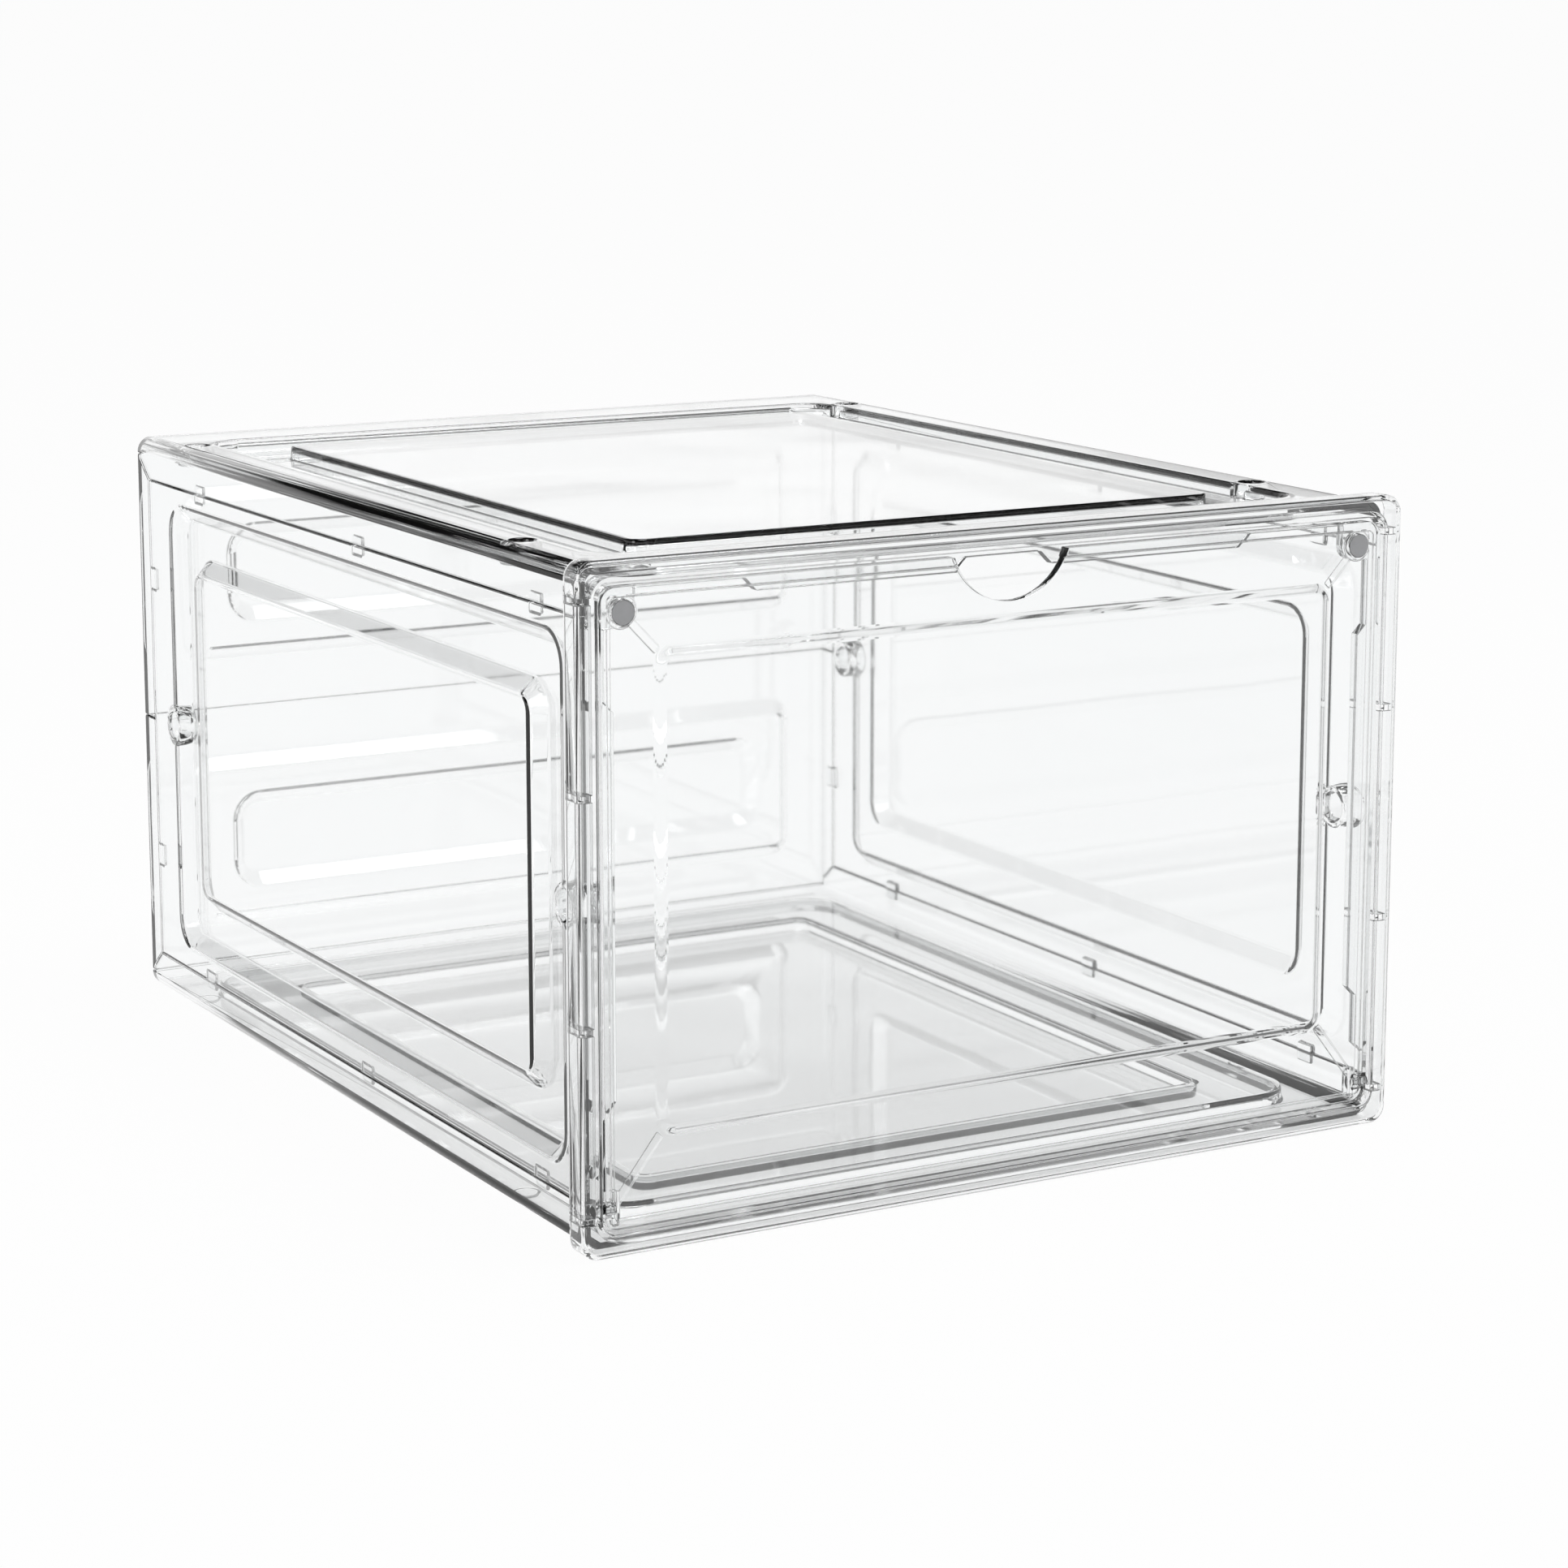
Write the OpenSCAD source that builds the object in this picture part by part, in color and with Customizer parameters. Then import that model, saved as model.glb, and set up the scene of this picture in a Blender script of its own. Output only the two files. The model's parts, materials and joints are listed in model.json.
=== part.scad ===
// Clear drop-front storage box: a front frame that carries a hinged door, and six thin moulded panels plugged
// into the back of the frame. Lengths are millimetres. The origin is the middle of the footprint, on the ground,
// with the door at the front (-Y).

/* [Overall] */
// Width of the front frame, the widest piece
box_w = 280; // [240:1:360]
// Height of the front frame, the tallest piece
box_h = 197.3; // [185:0.1:260]
// Depth from the frame's front face to the back wall
box_d = 344; // [300:1:400]

/* [Panels] */
// Thickness of every moulded wall
wall = 2; // [1.6:0.1:2.4]
// How far the frame stands proud of the side walls
proud_side = 3.65; // [3:0.05:5]
// How far the frame stands proud of the top panel
proud_top = 2.3; // [2:0.1:3]
// How far the frame stands below the bottom panel, the height of the foot studs
proud_bottom = 1.2; // [1:0.1:1.6]
// Rounding of the four long edges of the body
edge_r = 5; // [4:0.5:7]
// Gap at the seams between panels
seam = 0.15; // [0.1:0.05:0.3]
// Height of the flanges that the top and bottom panels turn over the sides
flange_h = 13.6; // [10:0.1:18]
// Length of the flanges that the back panels turn over the sides
flange_d = 10; // [8:0.5:14]
// Height of the lip that the top and bottom panels turn over the back
lip_h = 5.5; // [5.3:0.1:6]
// Depth of the embossed rings of the side and back panels
emboss = 4.7; // [3:0.1:5]

/* [Side panels] */
// Length and height of the embossed ring
side_ring = [296.7, 152.7];
// Length and height of the flush field inside the ring
side_field = [254.4, 110.6];
// Corner radius of the ring
side_ring_r = 10; // [8:0.5:14]
// Outer and bore diameter of the connector tubes
tube_d = [13.2, 9.4];
// Length of the connector tubes
tube_len = 8; // [7:0.5:10]
// Distance of the tubes' axes from the front face
tube_y = [17.5, 317];

/* [Back panels] */
// Width and height of the embossed ring
back_ring = [237, 59.4];
// Width and height of the flush field inside the ring
back_field = [201.4, 26.2];
// Corner radius of the ring
back_ring_r = 7; // [6:0.5:10]
// Height of the ring's middle above the seam between the two back panels
back_ring_up = 47.6; // [46:0.1:49]

/* [Top and bottom panels] */
// Width of the stacking channel and of the field inside it
channel_w = [242, 201];
// Front and back ends of the channel, from the front face
channel_y = [25, 320.5];
// Front and back ends of the field inside it
field_y = [44, 297];
// Depth of the channel
channel_depth = 4.5; // [3:0.1:5]
// How far the channel's walls lean over that depth
channel_run = 0.3; // [0.2:0.1:1]
// Corner radius of the channel and of the field
channel_r = [12, 5];
// Distance of the stacking sockets from the middle and from the front face
socket_x = 127; // [126:0.5:128]
// Distances of the stacking sockets from the front face
socket_y = [60, 311];
// Diameter and depth of a stacking socket
socket = [8, 5];

/* [Front frame] */
// Depth of the frame
frame_d = 8.5; // [7.5:0.1:10]
// Width of the frame's posts and rails
post_w = 6.5; // [6:0.1:8]
// Corner radius of the frame and of its opening
frame_r = [5.5, 4.5];
// Rounding of the frame's front edges
frame_edge = 1.6; // [0.8:0.1:2]
// Wall of the frame's hollow section
frame_wall = 1.6; // [1.4:0.1:1.8]
// Heights of the webs inside each post
web_z = [11.1, 65.6, 131.6, 186.1];
// Thickness of the webs
web_t = 1.8; // [1.2:0.1:2.4]
// Depth of the stop lip, measured from the frame's back face
stop_d = 3.3; // [2.5:0.1:3.5]
// Width of the stop lip near the corners and in its middle stretch
stop_w = [3.5, 6.5];
// Height range of the wide stretch on the posts
stop_z = [44, 154.5];
// Depth of the stop lip on the top rail, near the corners and in its middle
stop_top = [2.3, 6.2];
// Half length of the wide stretch on the top rail
stop_x = 86; // [70:1:100]
// Height at which the stop lip starts, above the hinges
stop_start = 22; // [20:1:30]

/* [Door] */
// Gap between the door and the posts
door_gap = 1.1; // [0.8:0.1:1.5]
// Lowest and highest edges of the door
door_z = [7.6, 189.6];
// Corner radius of the door
door_r = 4.5; // [3:0.1:6]
// Distance of the door's front face behind the frame's front face
door_back = 1.1; // [0.9:0.1:1.4]
// Thickness of the door's border
door_t = 3; // [2.6:0.1:3.4]
// Depth of the step from the border down to the window
window_step = 1.2; // [0.6:0.1:1.4]
// Width and height of the window
window = [227, 136.5];
// Height of the window's middle
window_z = 101.95; // [95:0.05:105]
// Width of the soft step round the window
window_run = 4; // [2:0.5:5]
// Corner radius of the window's outer outline
window_r = 6; // [5.5:0.5:9]
// Width of the rim and how far it stands proud at the front and the back
rim = [2.8, 0.4, 0.7];
// Radius of the thumb notch and its lowest point
notch = [20.3, 175.6];
// Diameter and thickness of a magnet
magnet = [7.2, 2.6];
// Distance of the magnets from the middle and from the ground
magnet_at = [125, 182.3];
// Width of the diagonal ribs
rib_w = 2.3; // [1.5:0.1:3]
// Height of the diagonal ribs
rib_up = 0.6; // [0.3:0.1:0.6]

/* [Hinge] */
// Hinge axis: distance behind the front face and height
hinge_at = [4.2, 13.4];
// Diameter of the hinge pins
pin_d = 3; // [2.6:0.1:3.2]
// Radial play between pin and knuckle
pin_play = 0.05; // [0.02:0.01:0.08]
// Outer diameter of a knuckle and its inner end, from the middle
knuckle = [5, 127];
// Diameter and thickness of the pin's collar between door and post
collar = [4.8, 0.8];

/* [Hidden] */

$fn = 64;
eps = 0.5;
clear_tint = [0.86, 0.9, 0.92];
magnet_tint = [0.42, 0.42, 0.43];

// Body outline: half width, bottom and top of the sleeve that the panels form
body_x = box_w / 2 - proud_side;
body_lo = proud_bottom;
body_hi = box_h - proud_top;
body_h = body_hi - body_lo;
body_mid = (body_hi + body_lo) / 2;
body_front = frame_d - 2;
seam_lo = body_lo + flange_h;
seam_hi = body_hi - flange_h;
flange_y = box_d - flange_d;
tab_len = 7.5;
tab_reach = 3;
tab_t = 1.3;
tab_y = [35, 158, 289];
tab_z = [50, 147];

open_x = box_w / 2 - post_w;
open_lo = post_w - 0.2;
open_hi = box_h - post_w;
door_x = open_x - door_gap;
door_mid = (door_z[0] + door_z[1]) / 2;
door_h = door_z[1] - door_z[0];
door_y1 = door_back + door_t;
pad_r = 4.7;
catch_t = 1.6;

// Rectangle with round corners, centred on the origin
module rounded(size, r) {
    square([size[0] - 2 * r, size[1]], center = true);
    square([size[0], size[1] - 2 * r], center = true);
    for (sx = [-1, 1], sy = [-1, 1])
        translate([sx * (size[0] / 2 - r), sy * (size[1] / 2 - r)])
            circle(r);
}

// Plate in the XZ plane from y0, with thickness t, of a shape drawn in (x, z)
module upright(y0, t) {
    translate([0, y0 + t, 0])
        rotate([90, 0, 0])
            linear_extrude(t)
                children();
}

// Cross-section of a tray across half width h, from its [inset, height] points
function section(h, profile) = concat([for (p = profile) [h - p[0], p[1]]],
    [for (i = [len(profile) - 1:-1:0]) [profile[i][0] - h, profile[i][1]]]);

// Solid tray shape: a rectangle with round corners whose edge follows a profile of [inset, height] points
module tray(size, r, profile) {
    top = profile[len(profile) - 1][1];
    rotate([90, 0, 0])
        linear_extrude(size[1] - 2 * r, center = true)
            polygon(section(size[0] / 2, profile));
    rotate([90, 0, 90])
        linear_extrude(size[0] - 2 * r, center = true)
            polygon(section(size[1] / 2, profile));
    for (sx = [-1, 1], sy = [-1, 1])
        translate([sx * (size[0] / 2 - r), sy * (size[1] / 2 - r), 0])
            rotate_extrude()
                polygon(concat([for (p = profile) [r - p[0], p[1]]], [[0, top], [0, profile[0][1]]]));
}

// Tray that draws in by run over its depth, with an upright part below z = 0
module pan(size, r, depth, run, over = 0) {
    below = over > 0 ? [[0, -over]] : [];
    tray(size, r, concat(below, [[0, 0], [run, depth]]));
}

// The same shape, widening by run as it goes up
module wide_pan(size, r, depth, run, over = 0) {
    translate([0, 0, depth])
        mirror([0, 0, 1])
            pan([size[0] + 2 * run, size[1] + 2 * run], r + run, depth, run, over);
}

// Ring pressed into a wall whose outer face is z = 0, with the field inside the ring left flush.
// The child is the flat wall. The ring is depth deep, and its flanks lean by run.
module pressed_ring(ring, ring_r, field, field_r, field_shift, depth, run) {
    lean = run / depth;
    grow = round(100 * wall * (sqrt(1 + lean * lean) - lean)) / 100;
    difference() {
        union() {
            difference() {
                union() {
                    children();
                    translate([0, 0, wall - 0.01])
                        pan([ring[0] + 2 * grow, ring[1] + 2 * grow], ring_r + grow, depth + 0.01, run);
                }
                pan(ring, ring_r, depth, run, eps);
            }
            translate([0, field_shift, 0])
                wide_pan(field, field_r, depth + 0.01, run);
        }
        translate([0, field_shift, wall])
            wide_pan([field[0] - 2 * grow, field[1] - 2 * grow], field_r - grow, depth, run, eps);
    }
}

// Rounded sleeve that the panels are cut from, between two depths
module sleeve(y0, y1, play = 0) {
    difference() {
        translate([0, 0, body_mid])
            upright(y0, y1 - y0)
                rounded([2 * body_x + 2 * play, body_h + 2 * play], edge_r + play);
        translate([0, 0, body_mid])
            upright(y0 - eps, y1 - y0 + 2 * eps)
                rounded([2 * (body_x - wall - play), body_h - 2 * wall - 2 * play], edge_r - wall - play);
    }
}

// Block across the whole width between two heights and two depths
module band(z0, z1, y0, y1) {
    translate([-box_w / 2, y0, z0])
        cube([box_w, y1 - y0, z1 - z0]);
}

// Snap tab: half of it lies on the panel's inner face, half reaches past the edge behind the next panel.
// The panel's edge is y = 0 and its inner face z = wall.
module snap_tab() {
    translate([-tab_len / 2, -tab_reach, wall - 0.3])
        cube([tab_len, tab_reach, tab_t + 0.3]);
    translate([-tab_len / 2, -0.01, wall + 0.1])
        cube([tab_len, tab_reach, tab_t - 0.1]);
}

// Left wall, drawn flat: x runs back from the front face, y runs up, z = 0 is the outer face
module side_wall_flat() {
    side_h = seam_hi - seam_lo - seam;
    side_l = flange_y - seam - body_front;
    mid_y = (tube_y[0] + tube_y[1]) / 2 - 0.4;
    difference() {
        union() {
            translate([mid_y, body_mid + 0.65, 0])
                pressed_ring(side_ring, side_ring_r, side_field, side_ring_r / 2, 0, emboss, emboss)
                    translate([body_front - mid_y, seam_lo + seam / 2 - body_mid - 0.65, 0])
                        cube([side_l, side_h, wall]);
            for (y = tube_y)
                translate([y, body_mid + 0.4, 0])
                    cylinder(h = tube_len, d = tube_d[0]);
            for (y = tab_y)
                translate([y, seam_hi - seam / 2, 0])
                    snap_tab();
            for (y = tab_y)
                translate([y, seam_lo + seam / 2, 0])
                    mirror([0, 1, 0])
                        snap_tab();
            for (z = tab_z)
                translate([flange_y - seam, z, 0])
                    rotate([0, 0, -90])
                        snap_tab();
        }
        for (y = tube_y)
            translate([y, body_mid + 0.4, -eps])
                cylinder(h = tube_len + 2 * eps, d = tube_d[1]);
    }
}

module side_panel() {
    translate([-body_x, 0, 0])
        rotate([90, 0, 90])
            side_wall_flat();
}

// Cuts the mitre where the side flange of the top panel meets the flange of the back panel
module mitre_cut() {
    end_z = body_hi - lip_h - seam;
    translate([-box_w / 2, 0, 0])
        rotate([90, 0, 90])
            linear_extrude(box_w)
                polygon([[flange_y, seam_hi - eps], [flange_y, seam_hi], [box_d, end_z],
                    [box_d + eps, end_z], [box_d + eps, seam_hi - eps]]);
}

// Flat sheet of the top panel with its side flanges and back lip
module top_sheet() {
    inside = [2 * (body_x - wall), body_h - 2 * wall];
    intersection() {
        difference() {
            translate([0, 0, body_mid])
                upright(body_front, box_d - body_front)
                    rounded([2 * body_x, body_h], edge_r);
            translate([0, 0, body_mid])
                upright(body_front - eps, box_d - wall - body_front + eps)
                    rounded(inside, edge_r - wall);
        }
        union() {
            band(seam_hi + seam / 2, box_h, 0, box_d - wall - seam);
            band(body_hi - lip_h, box_h, 0, box_d + eps);
        }
    }
}

// Top moulding: sheet with the stacking channel. The bottom panel is the same moulding turned over.
module top_moulding() {
    channel_mid = (channel_y[0] + channel_y[1]) / 2;
    field_mid = (field_y[0] + field_y[1]) / 2;
    channel = [channel_w[0], channel_y[1] - channel_y[0]];
    field = [channel_w[1], field_y[1] - field_y[0]];
    difference() {
        translate([0, channel_mid, body_hi])
            mirror([0, 0, 1])
                pressed_ring(channel, channel_r[0], field, channel_r[1], field_mid - channel_mid,
                    channel_depth, channel_run)
                    mirror([0, 0, 1])
                        translate([0, -channel_mid, -body_hi])
                            top_sheet();
        mitre_cut();
    }
}

module top_shape() {
    difference() {
        union() {
            top_moulding();
            for (sx = [-1, 1], y = socket_y)
                translate([sx * socket_x, y, body_hi - socket[1] - 1.8])
                    cylinder(h = socket[1] + 1.3, d = socket[0] + 2.8);
        }
        for (sx = [-1, 1], y = socket_y)
            translate([sx * socket_x, y, body_hi - socket[1]])
                cylinder(h = socket[1] + eps, d = socket[0]);
    }
}

module bottom_shape() {
    translate([0, 0, 2 * body_mid])
        mirror([0, 0, 1])
            top_moulding();
    for (sx = [-1, 1], y = socket_y)
        translate([sx * socket_x, y, 0])
            cylinder(h = body_lo + 0.5, d = socket[0] - 0.4);
}

// Upper back panel: half-height tray whose flanges turn forward over the side panels
module back_upper_shape() {
    back_mid = body_mid + seam / 2 + back_ring_up;
    back_lo = body_mid + seam / 2;
    back_hi = body_hi - lip_h - seam;
    translate([0, box_d, back_mid])
        rotate([90, 0, 0])
            pressed_ring(back_ring, back_ring_r, back_field, back_ring_r - 1, 0, emboss, emboss)
                translate([-body_x, back_lo - back_mid, 0])
                    cube([2 * body_x, back_hi - back_lo, wall]);
    for (sx = [-1, 1])
        translate([sx * (body_x - wall / 2) - wall / 2, 0, 0])
            rotate([90, 0, 90])
                linear_extrude(wall)
                    polygon([[flange_y, back_lo], [flange_y, seam_hi - seam], [box_d, back_hi], [box_d, back_lo]]);
}

// Frame outline with rounded front edges, built from plates, rods and corner rings
module frame_blank() {
    r = frame_edge;
    hx = box_w / 2;
    hz = box_h / 2;
    fr = frame_r[0];
    translate([0, 0, hz]) {
        upright(r, frame_d - r)
            rounded([box_w, box_h], fr);
        upright(0, frame_d)
            rounded([box_w - 2 * r, box_h - 2 * r], fr - r);
        for (s = [-1, 1]) {
            translate([s * (hx - r), r, 0])
                cylinder(h = box_h - 2 * fr, r = r, center = true);
            translate([0, r, s * (hz - r)])
                rotate([0, 90, 0])
                    cylinder(h = box_w - 2 * fr, r = r, center = true);
        }
        for (sx = [-1, 1], sz = [-1, 1])
            translate([sx * (hx - fr), r, sz * (hz - fr)])
                rotate([90, 0, 0])
                    rotate_extrude()
                        translate([fr - r, 0])
                            circle(r);
    }
}

// Stop lip on one post, with 45 degree ends on its wide stretch
module post_lip() {
    wide = stop_w[1] - stop_w[0];
    upright(frame_d - stop_d, stop_d)
        polygon([[open_x + 0.5, stop_start], [open_x - stop_w[0], stop_start + stop_w[0]],
            [open_x - stop_w[0], stop_z[0] - wide], [open_x - stop_w[1], stop_z[0]],
            [open_x - stop_w[1], stop_z[1]], [open_x - stop_w[0], stop_z[1] + wide],
            [open_x - stop_w[0], open_hi + 0.5], [open_x + 0.5, open_hi + 0.5]]);
}

// Half of the stop lip on the top rail, open in the middle for a thumb
module rail_lip() {
    drop = stop_top[1] - stop_top[0];
    gap = 12.7;
    upright(frame_d - stop_d, stop_d)
        polygon([[0, open_hi + 0.5], [0, open_hi - stop_top[0]], [gap, open_hi - stop_top[0]],
            [gap + drop, open_hi - stop_top[1]], [stop_x - drop, open_hi - stop_top[1]],
            [stop_x, open_hi - stop_top[0]], [open_x, open_hi - stop_top[0]], [open_x, open_hi + 0.5]]);
}

// Pad in the frame's upper corner that holds a catch disc behind the magnet
module catch_pad() {
    x = magnet_at[0];
    z = magnet_at[1];
    upright(frame_d - stop_d, stop_d)
        union() {
            translate([x, z])
                circle(pad_r);
            translate([x - pad_r, z])
                square([open_x - x + pad_r + 0.5, open_hi - z + 0.5]);
            translate([x, z - pad_r])
                square([open_x - x + 0.5, open_hi - z + pad_r + 0.5]);
        }
}

module front_frame_shape() {
    open_h = open_hi - open_lo;
    open_mid = (open_hi + open_lo) / 2;
    cavity_d = frame_d - frame_wall - 0.2;
    difference() {
        union() {
            difference() {
                union() {
                    difference() {
                        frame_blank();
                        translate([0, 0, open_mid])
                            upright(-eps, frame_d + 2 * eps)
                                rounded([2 * open_x, open_h], frame_r[1]);
                    }
                    for (sx = [0, 1])
                        mirror([sx, 0, 0]) {
                            post_lip();
                            rail_lip();
                            catch_pad();
                        }
                }
                difference() {
                    translate([0, 0, box_h / 2])
                        upright(frame_wall + 0.2, cavity_d + eps)
                            rounded([box_w - 2 * frame_wall, box_h - 2 * frame_wall], frame_r[0] - frame_wall);
                    translate([0, 0, open_mid])
                        upright(0, frame_d + 2 * eps)
                            rounded([2 * (open_x + frame_wall), open_h + 2 * frame_wall], frame_r[1] + frame_wall);
                }
            }
            for (sx = [-1, 1], z = web_z)
                translate([sx * (open_x + post_w / 2), (frame_wall + frame_d) / 2, z])
                    cube([post_w - 2 * frame_wall + 0.4, frame_d - frame_wall - 0.1, web_t], center = true);
        }
        sleeve(body_front - 0.1, frame_d + eps, 0.1);
        for (sx = [-1, 1]) {
            translate([sx * (open_x + frame_wall / 2), hinge_at[0], hinge_at[1]])
                rotate([0, 90, 0])
                    cylinder(h = frame_wall + 1, d = pin_d, center = true);
            translate([sx * magnet_at[0], frame_d - stop_d - eps, magnet_at[1]])
                rotate([-90, 0, 0])
                    cylinder(h = eps + catch_t + 0.4, d = magnet[0] + 0.1);
        }
    }
}

// Soft step down to the window, cut into the door's back face along a half cosine wave
module window_recess() {
    steps = 8;
    wave = [for (i = [0:steps]) [window_run * i / steps, window_step * (1 - cos(180 * i / steps)) / 2]];
    translate([0, door_y1, window_z])
        rotate([90, 0, 0])
            tray([window[0] + window_run, window[1] + window_run], window_r, concat([[0, -eps]], wave));
}

// Diagonal rib on the door's back face from a corner of the window to (x, z)
module diagonal_rib(x, z, sz) {
    from = [window[0] / 2 + 0.6, window_z + sz * (window[1] / 2 + 0.6)];
    run = [x - from[0], z - from[1]];
    translate([from[0], door_y1 - eps, from[1]])
        rotate([0, -atan2(run[1], run[0]), 0])
            translate([0, 0, -rib_w / 2])
                cube([norm(run), eps + rib_up, rib_w]);
}

// Hinge knuckle with its inner cheek, right-hand side
module knuckle_shape() {
    cheek = [2, 6.2, 10];
    translate([knuckle[1], hinge_at[0], hinge_at[1]])
        rotate([0, 90, 0])
            cylinder(h = door_x - knuckle[1], d = knuckle[0]);
    translate([knuckle[1], door_back, hinge_at[1] - cheek[2] / 2])
        cube(cheek);
}

module front_door_shape() {
    outer = [2 * door_x, door_h];
    rim_y = door_back - rim[1];
    rim_t = door_t + rim[1] + rim[2];
    difference() {
        union() {
            difference() {
                translate([0, 0, door_mid])
                    upright(door_back, door_t)
                        rounded(outer, door_r);
                window_recess();
            }
            difference() {
                translate([0, 0, door_mid])
                    upright(rim_y, rim_t)
                        rounded(outer, door_r);
                translate([0, 0, door_mid])
                    upright(rim_y - eps, rim_t + 2 * eps)
                        rounded([outer[0] - 2 * rim[0], outer[1] - 2 * rim[0]], door_r - rim[0]);
            }
            for (sx = [0, 1])
                mirror([sx, 0, 0]) {
                    diagonal_rib(magnet_at[0], magnet_at[1], 1);
                    diagonal_rib(door_x - 1.5, door_z[0] + 4, -1);
                    knuckle_shape();
                    translate([magnet_at[0], door_back, magnet_at[1]])
                        rotate([-90, 0, 0])
                            cylinder(h = door_t + rim[2], r = pad_r);
                }
        }
        translate([0, rim_y - eps, notch[0] + notch[1]])
            rotate([-90, 0, 0])
                cylinder(h = rim_t + 2 * eps, r = notch[0], $fn = 96);
        for (sx = [-1, 1]) {
            translate([sx * magnet_at[0], door_y1 + rim[2] - magnet[1] - 0.15, magnet_at[1]])
                rotate([-90, 0, 0])
                    cylinder(h = magnet[1] + 0.15 + eps, d = magnet[0] + 0.1);
            translate([sx * ((knuckle[1] + door_x) / 2 + 1.4), hinge_at[0], hinge_at[1]])
                rotate([0, 90, 0])
                    cylinder(h = door_x - knuckle[1] + 0.4, r = pin_d / 2 + pin_play, center = true);
        }
    }
}

// Hinge pin, right-hand side: a shaft held in the post's inner wall, with a collar between door and post
module pin_shape() {
    pin_in = knuckle[1] + 1.6;
    translate([pin_in, hinge_at[0], hinge_at[1]])
        rotate([0, 90, 0])
            cylinder(h = open_x + frame_wall - pin_in, d = pin_d);
    translate([open_x - collar[1], hinge_at[0], hinge_at[1]])
        rotate([0, 90, 0])
            cylinder(h = collar[1], d = collar[0]);
}

module magnet_shape() {
    translate([magnet_at[0], door_y1 + rim[2] - magnet[1] - 0.1, magnet_at[1]])
        rotate([-90, 0, 0])
            cylinder(h = magnet[1], d = magnet[0]);
}

module catch_shape() {
    translate([magnet_at[0], frame_d - stop_d + 0.3, magnet_at[1]])
        rotate([-90, 0, 0])
            cylinder(h = catch_t, d = magnet[0]);
}

// Moves a piece from depths counted from the front face to the origin in the middle of the footprint
module placed() {
    translate([0, -box_d / 2, 0])
        children();
}

module front_frame() {
    color(clear_tint) placed() front_frame_shape();
}

module front_door() {
    color(clear_tint) placed() front_door_shape();
}

module hinge_pin_left() {
    color(clear_tint) mirror([1, 0, 0]) placed() pin_shape();
}

module hinge_pin_right() {
    color(clear_tint) placed() pin_shape();
}

module door_magnet_left() {
    color(magnet_tint) mirror([1, 0, 0]) placed() magnet_shape();
}

module door_magnet_right() {
    color(magnet_tint) placed() magnet_shape();
}

module frame_catch_left() {
    color(magnet_tint) mirror([1, 0, 0]) placed() catch_shape();
}

module frame_catch_right() {
    color(magnet_tint) placed() catch_shape();
}

module left_side_panel() {
    color(clear_tint) placed() side_panel();
}

module right_side_panel() {
    color(clear_tint) mirror([1, 0, 0]) placed() side_panel();
}

module back_panel_upper() {
    color(clear_tint) placed() back_upper_shape();
}

module back_panel_lower() {
    color(clear_tint)
        placed()
            translate([0, 0, 2 * body_mid])
                mirror([0, 0, 1])
                    back_upper_shape();
}

module top_panel() {
    color(clear_tint) placed() top_shape();
}

module bottom_panel() {
    color(clear_tint) placed() bottom_shape();
}

front_frame();
front_door();
hinge_pin_left();
hinge_pin_right();
door_magnet_left();
door_magnet_right();
frame_catch_left();
frame_catch_right();
left_side_panel();
right_side_panel();
back_panel_upper();
back_panel_lower();
top_panel();
bottom_panel();
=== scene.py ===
# %% [markdown]
# A clear storage box with a drop-front door. Every wall is a thin moulded sheet of colourless plastic, so almost
# nothing of it has a colour of its own: what the eye reads is the set of lines where the sheet turns, ends or
# meets another sheet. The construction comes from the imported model, and this script gives it its surfaces,
# a camera and light that let those lines show.

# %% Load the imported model
import bpy
import json
import math
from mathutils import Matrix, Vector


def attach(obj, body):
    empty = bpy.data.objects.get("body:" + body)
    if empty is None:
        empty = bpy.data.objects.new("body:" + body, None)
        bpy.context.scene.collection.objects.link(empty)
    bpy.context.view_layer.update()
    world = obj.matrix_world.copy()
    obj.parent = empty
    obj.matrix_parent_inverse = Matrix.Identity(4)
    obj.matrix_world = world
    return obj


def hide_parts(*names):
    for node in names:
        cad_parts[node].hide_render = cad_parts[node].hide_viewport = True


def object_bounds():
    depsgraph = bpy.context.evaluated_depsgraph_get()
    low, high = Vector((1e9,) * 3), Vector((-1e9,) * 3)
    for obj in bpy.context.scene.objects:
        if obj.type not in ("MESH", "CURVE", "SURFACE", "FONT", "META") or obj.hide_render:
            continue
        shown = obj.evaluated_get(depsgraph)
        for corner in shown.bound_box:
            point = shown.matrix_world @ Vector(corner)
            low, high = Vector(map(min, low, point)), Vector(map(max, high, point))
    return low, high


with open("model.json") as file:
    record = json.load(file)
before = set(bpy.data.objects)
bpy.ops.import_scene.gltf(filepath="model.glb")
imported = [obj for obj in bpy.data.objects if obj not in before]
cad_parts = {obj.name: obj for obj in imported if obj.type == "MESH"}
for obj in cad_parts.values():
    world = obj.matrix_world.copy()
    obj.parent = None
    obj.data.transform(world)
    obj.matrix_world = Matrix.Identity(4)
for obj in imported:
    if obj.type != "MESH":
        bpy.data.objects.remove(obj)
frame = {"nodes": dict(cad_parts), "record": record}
cad_box = [list(corner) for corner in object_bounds()]
low, high = cad_box
print("packed nodes:", sorted(frame["nodes"]))
print("packed box, metres:", [round(high[i] - low[i], 4) for i in range(3)])

# %% [markdown]
# Shader networks read best as arithmetic. The class below wraps one socket, so that a material can be written as
# an expression, such as `0.02 + 0.03 * noise`, and each operator adds its Math node. Other nodes come from one
# method, which takes the node's type, its settings and its inputs.

# %% A small language for shader nodes


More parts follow.
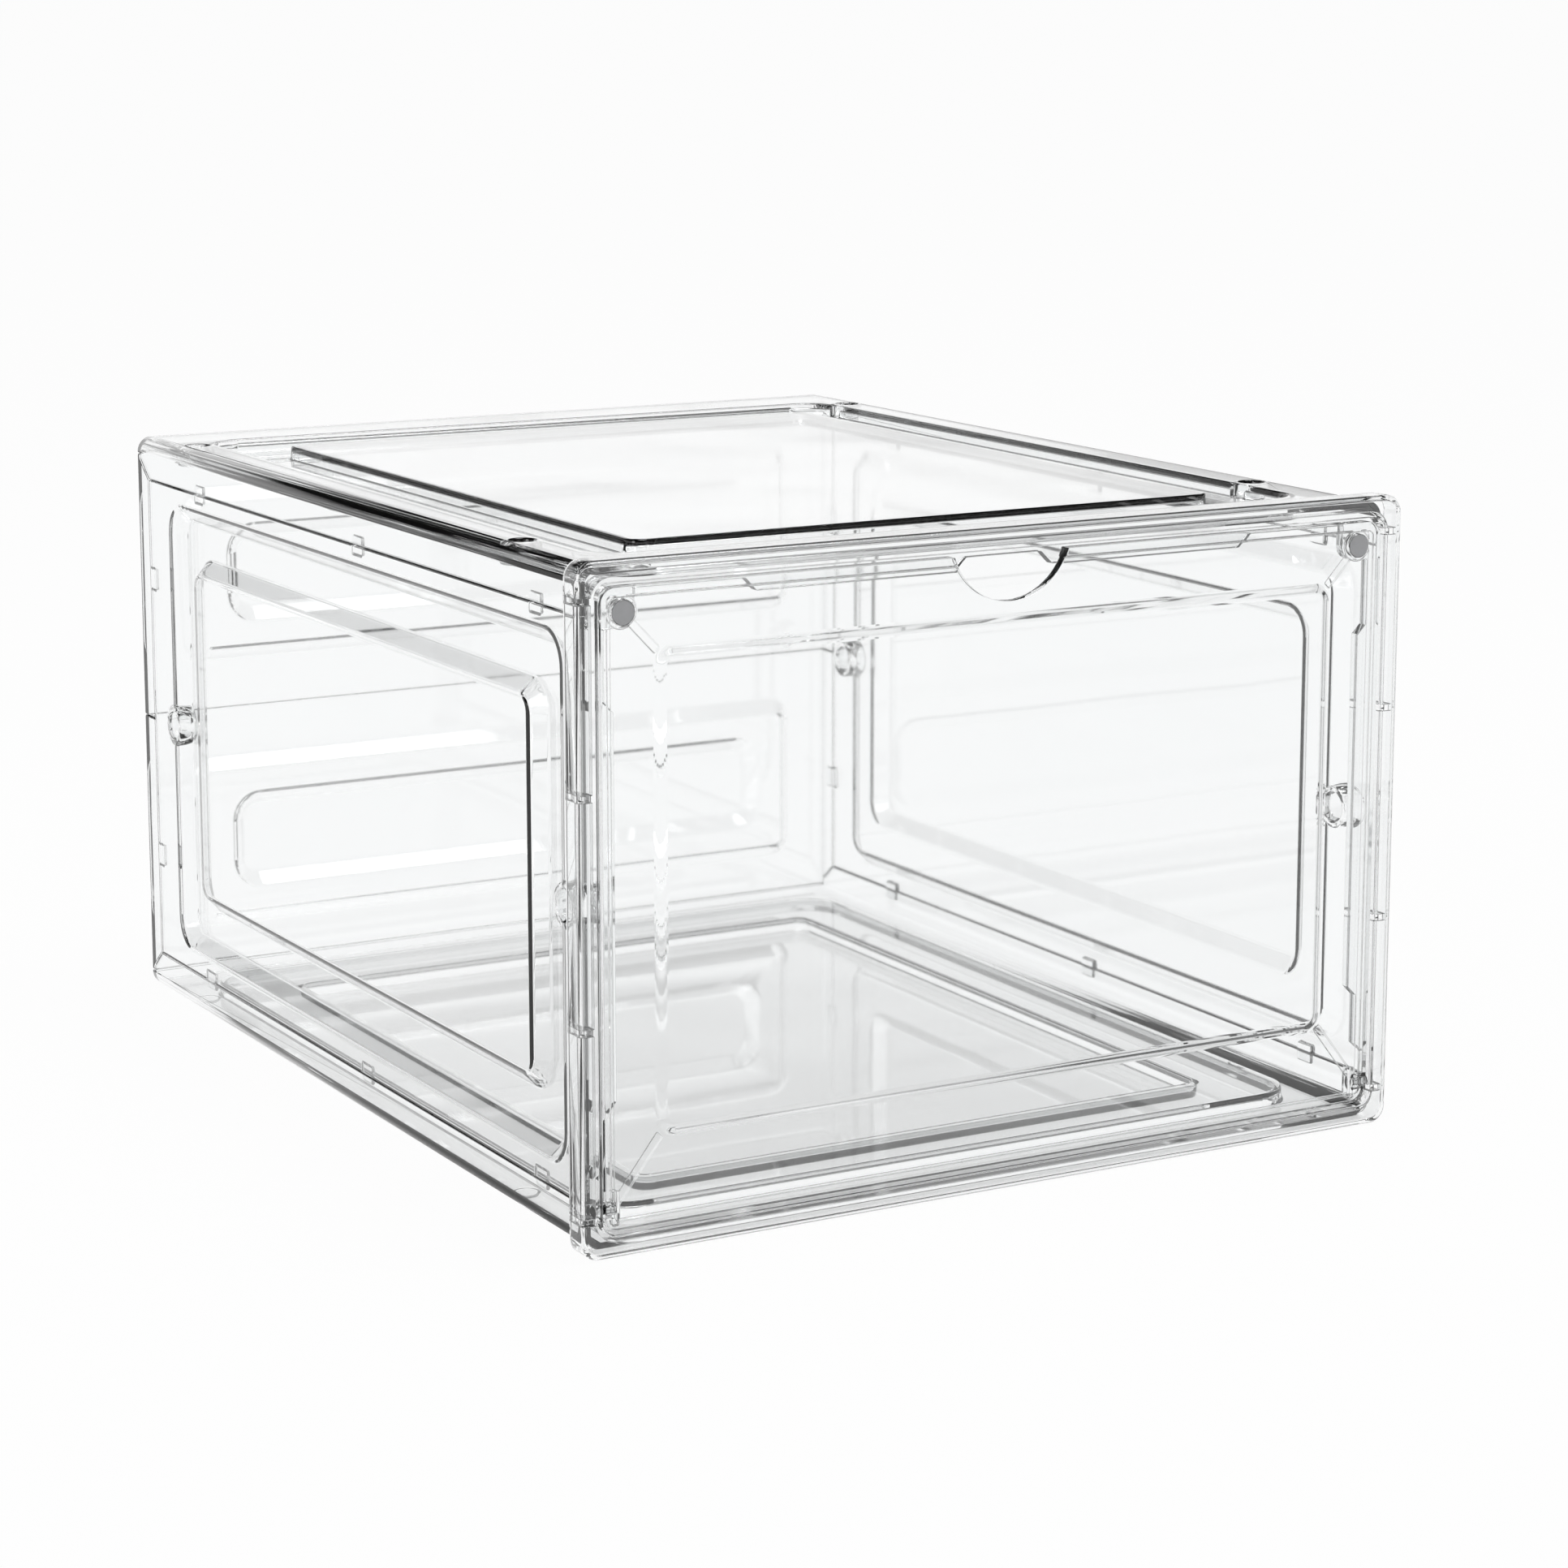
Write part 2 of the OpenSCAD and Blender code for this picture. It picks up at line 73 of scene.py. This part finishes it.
class Socket:
    """One output socket, with the operators that the materials below use."""

    def __init__(self, shader, output):
        self.shader, self.output = shader, output

    def _math(self, operation, first, second):
        return self.shader.node("ShaderNodeMath", {"operation": operation}, [first, second])

    def __add__(self, other):
        return self._math("ADD", self, other)

    def __mul__(self, other):
        return self._math("MULTIPLY", self, other)

    __radd__ = __add__
    __rmul__ = __mul__

    def either(self, other):
        return self._math("MAXIMUM", self, other)


class Shader:
    """A node tree of a material or of the world, emptied, with methods that add to it."""

    def __init__(self, owner):
        owner.use_nodes = True
        self.tree = owner.node_tree
        self.tree.nodes.clear()

    def node(self, kind, settings=None, inputs=None, output=0):
        made = self.tree.nodes.new(kind)
        for name, value in (settings or {}).items():
            setattr(made, name, value)
        pairs = inputs.items() if isinstance(inputs, dict) else enumerate(inputs or [])
        for name, value in pairs:
            if isinstance(value, Socket):
                self.tree.links.new(value.output, made.inputs[name])
            else:
                made.inputs[name].default_value = value
        return Socket(self, made.outputs[output]) if made.outputs else None

    def place(self):
        return self.node("ShaderNodeTexCoord", output="Object")

    def noise(self, scale, detail=2.0):
        """Noise of 0 to 1 whose grains are 1 / scale metres wide."""
        return self.node("ShaderNodeTexNoise", {}, {"Vector": self.place(), "Scale": scale, "Detail": detail})

    def blend(self, amount, first, second):
        """Colour that goes from first to second as amount goes from 0 to 1."""
        return self.node("ShaderNodeMix", {"data_type": "RGBA"}, {0: amount, 6: first, 7: second}, output=2)

    def finish(self, kind, surface):
        self.node(kind, {}, {"Surface": surface})


# %% [markdown]
# The clear plastic is a dense, glossy, colourless resin. It is a glass shader with the resin's refractive index.
# A trace of unevenness in roughness and in the surface's level, as a polished mould leaves it, keeps the large
# panes from looking like empty air.

# %% Clear plastic
RESIN_INDEX = 1.55
CLEAR = (0.985, 0.99, 0.99, 1)
CLEAR_DEEP = (0.965, 0.973, 0.975, 1)
FLOW_SCALE = 14
POLISH_SCALE = 160
POLISH_SPREAD = 0.02
FLOW_STRENGTH = 0.5


def clear_plastic(name, roughness, waviness):
    made = bpy.data.materials.new(name)
    s = Shader(made)
    flow = s.noise(FLOW_SCALE, 1.0)
    polish = s.noise(POLISH_SCALE, 3.0)
    surface = s.node(
        "ShaderNodeBsdfPrincipled",
        {},
        {
            "Base Color": s.blend(flow, CLEAR, CLEAR_DEEP),
            "Roughness": roughness + POLISH_SPREAD * polish,
            "IOR": RESIN_INDEX,
            "Transmission Weight": 1.0,
            "Normal": s.node("ShaderNodeBump", {}, {"Strength": FLOW_STRENGTH, "Distance": waviness, "Height": flow}),
        },
    )
    s.finish("ShaderNodeOutputMaterial", surface)
    return made


panel_plastic = clear_plastic("panel_clear_plastic", 0.012, 0.0002)
frame_plastic = clear_plastic("frame_clear_plastic", 0.02, 0.0001)
pin_plastic = clear_plastic("pin_clear_plastic", 0.05, 0.0001)
print("clear plastics made, refractive index", RESIN_INDEX)

# %% [markdown]
# The magnets and the discs that they pull on are small plated discs, seen through the plastic as flat grey coins.

# %% Plated discs
MAGNET_GREYS = (0.3, 0.3, 0.31, 1), (0.42, 0.42, 0.43, 1)
CATCH_GREYS = (0.4, 0.4, 0.41, 1), (0.52, 0.52, 0.53, 1)
PLATE_ROUGHNESS = 0.3
PLATE_SPREAD = 0.2
PLATE_STRENGTH = 0.3
PLATE_GRAIN_DEPTH = 0.00002


def plated(name, dark, pale, grain):
    made = bpy.data.materials.new(name)
    s = Shader(made)
    mottle = s.noise(grain, 4.0)
    depth = {"Strength": PLATE_STRENGTH, "Distance": PLATE_GRAIN_DEPTH, "Height": mottle}
    grain_bump = s.node("ShaderNodeBump", {}, depth)
    surface = s.node(
        "ShaderNodeBsdfPrincipled",
        {},
        {
            "Base Color": s.blend(mottle, dark, pale),
            "Roughness": PLATE_ROUGHNESS + PLATE_SPREAD * mottle,
            "Metallic": 1.0,
            "Normal": grain_bump,
        },
    )
    s.finish("ShaderNodeOutputMaterial", surface)
    return made


magnet_plate = plated("magnet_plate", *MAGNET_GREYS, 900)
catch_plate = plated("catch_plate", *CATCH_GREYS, 700)
print("plated discs made")

# %% [markdown]
# No moulded edge is knife sharp. Light that runs along a sheet leaves it at its rounded edges, and that is why each
# edge of clear plastic reads as a pair of fine lines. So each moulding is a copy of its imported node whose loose
# triangles are joined into flat faces, and a Bevel modifier then rounds the edges. It could also be faked by a
# shader, but real roundings bend the view as the real ones do, from all sides.

# %% Round the edges of every moulding
import bmesh
from mathutils.bvhtree import BVHTree

PANEL_ROUNDING = 0.0006
FRAME_ROUNDING = 0.0003
DISC_ROUNDING = 0.0003
ROUNDING_STEPS = 2
ROUNDED_FROM = math.radians(32)
JOIN_WITHIN = 2e-6
FLAT_WITHIN = math.radians(0.6)
FARTHEST = 0.5


def joined_copy(node):
    """The node's mesh with its triangles merged into flat faces."""
    mesh = node.data.copy()
    work = bmesh.new()
    work.from_mesh(mesh)
    bmesh.ops.remove_doubles(work, verts=work.verts, dist=JOIN_WITHIN)
    bmesh.ops.dissolve_limit(work, angle_limit=FLAT_WITHIN, verts=work.verts, edges=work.edges)
    work.to_mesh(mesh)
    work.free()
    return mesh


def volume_of(mesh):
    """Volume in cubic centimetres, which a torn or folded mesh would get wrong."""
    work = bmesh.new()
    work.from_mesh(mesh)
    volume = work.calc_volume(signed=True) * 1e6
    work.free()
    return volume


def put_back_strays(mesh, sharp, farthest):
    """Where narrow parts meet, a corner of the rounding can miss. It goes back onto the sharp surface."""
    surface = BVHTree.FromPolygons([v.co for v in sharp.vertices], [p.vertices for p in sharp.polygons])
    strays = 0
    for vertex in mesh.vertices:
        nearest, _, _, distance = surface.find_nearest(vertex.co)
        if distance > farthest:
            vertex.co = nearest
            strays += 1
    return strays


def rounded_piece(name, node, rounding):
    """A piece that stands for the node, with rounded edges and the node's place, and its count of strays."""
    draft = bpy.data.objects.new(name + "_draft", joined_copy(node))
    bpy.context.scene.collection.objects.link(draft)
    bevel = draft.modifiers.new("rounding", "BEVEL")
    bevel.width = rounding
    bevel.segments = ROUNDING_STEPS
    bevel.limit_method = "ANGLE"
    bevel.angle_limit = ROUNDED_FROM
    bevel.use_clamp_overlap = False
    bevel.harden_normals = True
    bevel.miter_outer = "MITER_ARC"
    evaluated = draft.evaluated_get(bpy.context.evaluated_depsgraph_get())
    mesh = bpy.data.meshes.new_from_object(evaluated)
    strays = put_back_strays(mesh, draft.data, FARTHEST * rounding)
    bpy.data.objects.remove(draft)
    piece = bpy.data.objects.new(name, mesh)
    bpy.context.scene.collection.objects.link(piece)
    return piece, strays


def body_of(node_name):
    bodies = frame["record"]["behaviour"]["bodies"]
    return next(body for body, nodes in bodies.items() if node_name in nodes)


def finish_for(node_name):
    if node_name.startswith("door_magnet"):
        return magnet_plate
    if node_name.startswith("frame_catch"):
        return catch_plate
    if node_name.startswith("hinge_pin"):
        return pin_plastic
    return frame_plastic if node_name.startswith("front") else panel_plastic


def rounding_for(node_name):
    if "panel" in node_name:
        return PANEL_ROUNDING
    return FRAME_ROUNDING if node_name.startswith("front") else DISC_ROUNDING


for name, node in frame["nodes"].items():
    piece, strays = rounded_piece("moulded_" + name, node, rounding_for(name))
    piece.data.materials.clear()
    piece.data.materials.append(finish_for(name))
    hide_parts(name)
    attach(piece, body_of(name))
    for slot in node.material_slots:
        slot.material = finish_for(name)
    volumes = round(volume_of(node.data), 3), round(volume_of(piece.data), 3)
    print(name, len(piece.data.polygons), "faces,", strays, "strays, cm3 sharp and rounded:", volumes)

# %% [markdown]
# The floor is a plain white disc. Where the camera, a reflection or a refraction looks at it, it is mostly white by
# itself, and partly lit, so that it still takes the object's faint shadow. Light that turned many times inside the
# plastic before it reached the floor comes out weaker, as it does in a real thick edge.

# %% Floor
FLOOR_RADIUS = 30.0
FLOOR_SIDES = 96
FLOOR_LEVEL = -0.0002
FLOOR_WHITE = (0.9, 0.9, 0.9, 1)
FLOOR_GLOW = 0.97
FADES_FROM = 7
FADED_AT = 14
FADED = 0.12


def fading(s):
    """Light that turned many times inside the plastic comes out weaker."""
    depth = s.node("ShaderNodeLightPath", output="Ray Depth")
    limits = {"Value": depth, "From Min": FADES_FROM, "From Max": FADED_AT, "To Min": 1.0, "To Max": FADED}
    return s.node("ShaderNodeMapRange", {}, limits)


def seen(s):
    path = s.tree.nodes.new("ShaderNodeLightPath")
    rays = [Socket(s, path.outputs[f"Is {kind} Ray"]) for kind in ("Camera", "Glossy", "Transmission")]
    return rays[0].either(rays[1]).either(rays[2])


bpy.ops.mesh.primitive_circle_add(
    vertices=FLOOR_SIDES, radius=FLOOR_RADIUS, fill_type="NGON", location=(0, 0, FLOOR_LEVEL)
)
floor = bpy.context.object
floor.name = "floor"
floor_material = bpy.data.materials.new("floor_white")
s = Shader(floor_material)
lit = s.node("ShaderNodeBsdfDiffuse", {}, {"Color": FLOOR_WHITE})
white = s.node("ShaderNodeEmission", {}, {"Color": (1, 1, 1, 1), "Strength": fading(s)})
s.finish("ShaderNodeOutputMaterial", s.node("ShaderNodeMixShader", {}, [seen(s) * FLOOR_GLOW, lit, white]))
floor.data.materials.append(floor_material)
print("floor radius, metres:", FLOOR_RADIUS)

# %% [markdown]
# Clear plastic shows only what stands around it, so the surroundings are the real light. The studio is white to a
# little above the horizon, and its ceiling is dark. The sheets, which look almost straight through, stay white, and
# the rounded edges, which bend the view upwards, turn grey. The camera itself sees plain white.

# %% Surroundings
CEILING = 0.03
WHITE_UP_TO = 0.22
DIM_FROM = 0.32

world = bpy.data.worlds.new("studio")
bpy.context.scene.world = world
s = Shader(world)
direction = s.node("ShaderNodeTexCoord", output="Generated")
height = s.node("ShaderNodeSeparateXYZ", {}, [direction], output="Z")
dimming = s.node(
    "ShaderNodeMapRange",
    {},
    {"Value": height, "From Min": WHITE_UP_TO, "From Max": DIM_FROM, "To Min": 1.0, "To Max": CEILING},
)
path = s.node("ShaderNodeLightPath", output="Is Camera Ray")
s.finish(
    "ShaderNodeOutputWorld",
    s.node("ShaderNodeBackground", {}, {"Color": (1, 1, 1, 1), "Strength": (dimming * fading(s)).either(path)}),
)
print("surroundings are white up to", round(math.degrees(math.asin(WHITE_UP_TO))), "degrees above the horizon")

# %% [markdown]
# One broad soft lamp hangs over the box and a second stands at the left, so that the upper edges carry a highlight.

# %% Lamps
AIM_HEIGHT = 0.1


def softbox(name, place, size, power):
    lamp = bpy.data.lights.new(name, "AREA")
    lamp.shape = "SQUARE"
    lamp.size = size
    lamp.energy = power
    holder = bpy.data.objects.new(name, lamp)
    holder.location = place
    aim = -holder.location.copy()
    aim.z += AIM_HEIGHT
    holder.rotation_euler = aim.to_track_quat("-Z", "Y").to_euler()
    bpy.context.scene.collection.objects.link(holder)
    return holder


softbox("lamp_over", (0.3, -0.4, 2.2), 1.2, 30)
softbox("lamp_left", (-2.2, -0.8, 1.2), 1.2, 15)
print("lamps made")

# %% [markdown]
# The photograph was taken level with the lens shifted far down, which a camera that has to work from every side
# can't keep. So this camera looks down by ten degrees with a small shift instead. Its place, turn and focal length
# were fitted, so that the box's corners land within one part in a hundred of where the photograph has them.

# %% Camera
SENSOR_MM = 36.0
FOCAL_MM = 91.5
CAMERA_PLACE = (-0.6140, -1.1220, 0.3599)
CAMERA_TURN = math.radians(-29.534)
LOOKS_DOWN = math.radians(10.542)
LENS_SHIFT = -0.06

lens = bpy.data.cameras.new("camera")
lens.sensor_width = SENSOR_MM
lens.lens = FOCAL_MM
lens.shift_y = LENS_SHIFT
camera = bpy.data.objects.new("camera", lens)
camera.location = CAMERA_PLACE
camera.rotation_euler = (math.radians(90) - LOOKS_DOWN, 0, CAMERA_TURN)
bpy.context.scene.collection.objects.link(camera)
bpy.context.scene.camera = camera
print("camera at", CAMERA_PLACE)

# %% [markdown]
# Light crosses many sheets on its way through a clear box, so the paths may be long.

# %% View and light paths
LONGEST_PATH = 32
MIRRORED_PATH = 12
bpy.context.scene.view_settings.view_transform = "Standard"
cycles = bpy.context.scene.cycles
cycles.max_bounces = LONGEST_PATH
cycles.transmission_bounces = LONGEST_PATH
cycles.transparent_max_bounces = LONGEST_PATH
cycles.glossy_bounces = MIRRORED_PATH
print("longest light path:", cycles.max_bounces)
